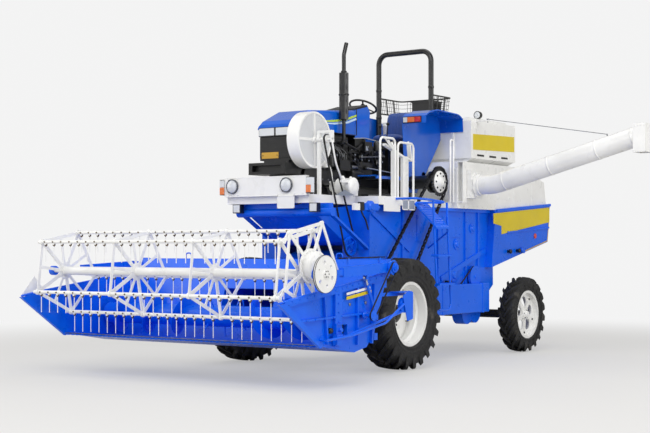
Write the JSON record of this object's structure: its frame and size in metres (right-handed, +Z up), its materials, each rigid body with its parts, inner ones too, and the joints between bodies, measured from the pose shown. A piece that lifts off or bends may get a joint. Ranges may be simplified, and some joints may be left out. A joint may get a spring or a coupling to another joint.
{
  "type": "combine harvester",
  "caption": "Tractor-mounted combine harvester with a wide tined reel, cutting table, grain tank and side unloading tube.",
  "frame": {"origin": "middle of the machine's overall footprint, on the ground", "axes": "+X the machine's left side, where the unloading tube points; +Y its rear, so that it drives and cuts towards -Y; +Z up"},
  "size_m": [5.78, 8.4114, 4.4679],
  "materials": {
    "blue_paint": "gloss enamel",
    "tractor_blue": "gloss enamel",
    "white_paint": "gloss enamel",
    "black_paint": "satin enamel",
    "tyre": "matte",
    "chain_steel": "oiled",
    "belt_rubber": "matte",
    "lamp_lens": "clear moulding",
    "seat_cover": "coated cloth",
    "rod_steel": "ground",
    "knife_steel": "worn"
  },
  "bodies": {
    "chassis": {"front_axle": "blue_paint", "rear_axle": "black_paint", "chain_drives": "chain_steel", "body_shell": "blue_paint", "straw_hood": "blue_paint", "rear_upper_body": "white_paint", "front_hood": "blue_paint", "front_cross_beam": "blue_paint", "operator_deck": "white_paint", "ladder": "blue_paint", "handrails": "white_paint", "headlight_board": "white_paint", "front_lamps": "lamp_lens", "tractor_chassis": "black_paint", "tractor_bonnet": "tractor_blue", "tractor_grille": "black_paint", "tractor_fenders": "tractor_blue", "roll_bar": "black_paint", "exhaust": "black_paint", "steering_wheel": "black_paint", "operator_seat": "seat_cover", "screen_mount": "white_paint", "ring_pulley": "blue_paint", "screen_belt": "belt_rubber", "grain_tank": "white_paint", "auger_sump": "white_paint", "fuel_box": "blue_paint"},
    "front_wheel_left": {"front_tyre_left": "tyre", "front_rim_left": "white_paint"},
    "front_wheel_right": {"front_tyre_right": "tyre", "front_rim_right": "white_paint"},
    "knuckle_left": {"steering_knuckle_left": "black_paint"},
    "knuckle_right": {"steering_knuckle_right": "black_paint"},
    "tie_rod": {"tie_rod": "black_paint"},
    "rear_wheel_left": {"rear_tyre_left": "tyre", "rear_rim_left": "white_paint"},
    "rear_wheel_right": {"rear_tyre_right": "tyre", "rear_rim_right": "white_paint"},
    "header": {"header_frame": "blue_paint", "deflector_plate": "white_paint", "cutter_bar": "knife_steel", "header_drive": "blue_paint", "feeder_house": "blue_paint"},
    "auger": {"table_auger": "blue_paint"},
    "reel_arms": {"reel_arms": "blue_paint"},
    "reel": {"reel_frame": "white_paint"},
    "control_ring": {"reel_control_ring": "white_paint"},
    "header_barrels": {"header_cylinder_barrels": "blue_paint"},
    "header_rods": {"header_cylinder_rods": "rod_steel"},
    "reel_barrels": {"reel_cylinder_barrels": "blue_paint"},
    "reel_rods": {"reel_cylinder_rods": "rod_steel"},
    "unloader": {"unloader_tube": "white_paint", "unloader_stay": "knife_steel"},
    "screen": {"radiator_screen": "white_paint"},
    "bat_1": {"reel_bat_1": "white_paint"},
    "bat_2": {"reel_bat_2": "white_paint"},
    "bat_3": {"reel_bat_3": "white_paint"},
    "bat_4": {"reel_bat_4": "white_paint"},
    "bat_5": {"reel_bat_5": "white_paint"}
  },
  "joints": [
    {"name": "front_wheel_left_spin", "type": "hinge", "parent": "chassis", "child": "front_wheel_left", "pos_m": [0.42, -0.68071, 0.72], "axis": [1, 0, 0], "continuous": true},
    {"name": "front_wheel_right_spin", "type": "hinge", "parent": "chassis", "child": "front_wheel_right", "pos_m": [-2.06, -0.68071, 0.72], "axis": [1, 0, 0], "continuous": true},
    {"name": "steer_left", "type": "hinge", "parent": "chassis", "child": "knuckle_left", "pos_m": [0.08, 2.96929, 0.565], "axis": [0, 0, 1], "range_deg": [-35, 35]},
    {"name": "steer_right", "type": "hinge", "parent": "chassis", "child": "knuckle_right", "pos_m": [-1.72, 2.96929, 0.565], "axis": [0, 0, 1], "range_deg": [-36, 36]},
    {"name": "tie_rod_pivot", "type": "hinge", "parent": "knuckle_left", "child": "tie_rod", "pos_m": [0.08, 2.77929, 0.525], "axis": [0, 0, 1], "range_deg": [-36, 36]},
    {"name": "rear_wheel_left_spin", "type": "hinge", "parent": "knuckle_left", "child": "rear_wheel_left", "pos_m": [0.31, 2.96929, 0.565], "axis": [1, 0, 0], "continuous": true},
    {"name": "rear_wheel_right_spin", "type": "hinge", "parent": "knuckle_right", "child": "rear_wheel_right", "pos_m": [-1.95, 2.96929, 0.565], "axis": [1, 0, 0], "continuous": true},
    {"name": "header_lift", "type": "hinge", "parent": "chassis", "child": "header", "pos_m": [-0.82, -0.56071, 1.32], "axis": [-1, 0, 0], "range_deg": [-7, 12]},
    {"name": "header_cylinder_swing", "type": "hinge", "parent": "chassis", "child": "header_barrels", "pos_m": [-0.82, -0.78071, 0.5], "axis": [-1, 0, 0], "range_deg": [-4.24, 6.91]},
    {"name": "header_cylinder_stroke", "type": "slide", "parent": "header_barrels", "child": "header_rods", "axis": [0, -0.8269, 0.5623], "range_m": [-0.1008, 0.1699]},
    {"name": "auger_spin", "type": "hinge", "parent": "header", "child": "auger", "pos_m": [-0.82, -2.73071, 0.735], "axis": [1, 0, 0], "continuous": true},
    {"name": "reel_lift", "type": "hinge", "parent": "header", "child": "reel_arms", "pos_m": [-0.82, -2.15071, 1.34], "axis": [-1, 0, 0], "range_deg": [0, 20]},
    {"name": "reel_cylinder_swing", "type": "hinge", "parent": "header", "child": "reel_barrels", "pos_m": [-0.82, -2.43071, 0.8], "axis": [-1, 0, 0], "range_deg": [-0.5, 5.94]},
    {"name": "reel_cylinder_stroke", "type": "slide", "parent": "reel_barrels", "child": "reel_rods", "axis": [0, -0.4283, 0.9037], "range_m": [-0.004, 0.1686]},
    {"name": "reel_spin", "type": "hinge", "parent": "reel_arms", "child": "reel", "pos_m": [-0.82, -3.60071, 1.285], "axis": [1, 0, 0], "continuous": true},
    {"name": "control_ring_spin", "type": "hinge", "parent": "reel_arms", "child": "control_ring", "pos_m": [-0.82, -3.53071, 1.37], "axis": [1, 0, 0], "continuous": true},
    {"name": "unloader_swing", "type": "hinge", "parent": "chassis", "child": "unloader", "pos_m": [0.37, 1.78929, 2.466], "axis": [0, 0, 1], "range_deg": [0, 90]},
    {"name": "screen_spin", "type": "hinge", "parent": "chassis", "child": "screen", "pos_m": [-0.82, -1.51071, 2.94], "axis": [1, 0, 0], "continuous": true},
    {"name": "bat_1_turn", "type": "hinge", "parent": "reel", "child": "bat_1", "pos_m": [-0.82, -3.98101, 1.63964], "axis": [1, 0, 0], "continuous": true},
    {"name": "bat_2_turn", "type": "hinge", "parent": "reel", "child": "bat_2", "pos_m": [-0.82, -3.38095, 1.75628], "axis": [1, 0, 0], "continuous": true},
    {"name": "bat_3_turn", "type": "hinge", "parent": "reel", "child": "bat_3", "pos_m": [-0.82, -3.08459, 1.22163], "axis": [1, 0, 0], "continuous": true},
    {"name": "bat_4_turn", "type": "hinge", "parent": "reel", "child": "bat_4", "pos_m": [-0.82, -3.50149, 0.77455], "axis": [1, 0, 0], "continuous": true},
    {"name": "bat_5_turn", "type": "hinge", "parent": "reel", "child": "bat_5", "pos_m": [-0.82, -4.05551, 1.0329], "axis": [1, 0, 0], "continuous": true}
  ],
  "couplings": [
    {"joint": "steer_right", "follows": "steer_left", "ratio": 1},
    {"joint": "tie_rod_pivot", "follows": "steer_left", "ratio": -1},
    {"joint": "header_cylinder_swing", "follows": "header_lift", "ratio": 0.53378},
    {"joint": "header_cylinder_stroke", "follows": "header_lift", "m_per_rad": 0.79228},
    {"joint": "reel_cylinder_swing", "follows": "reel_lift", "ratio": 0.272},
    {"joint": "reel_cylinder_stroke", "follows": "reel_lift", "m_per_rad": 0.47147},
    {"joint": "control_ring_spin", "follows": "reel_spin", "ratio": 1},
    {"joint": "bat_1_turn", "follows": "reel_spin", "ratio": -1},
    {"joint": "bat_2_turn", "follows": "reel_spin", "ratio": -1},
    {"joint": "bat_3_turn", "follows": "reel_spin", "ratio": -1},
    {"joint": "bat_4_turn", "follows": "reel_spin", "ratio": -1},
    {"joint": "bat_5_turn", "follows": "reel_spin", "ratio": -1}
  ]
}
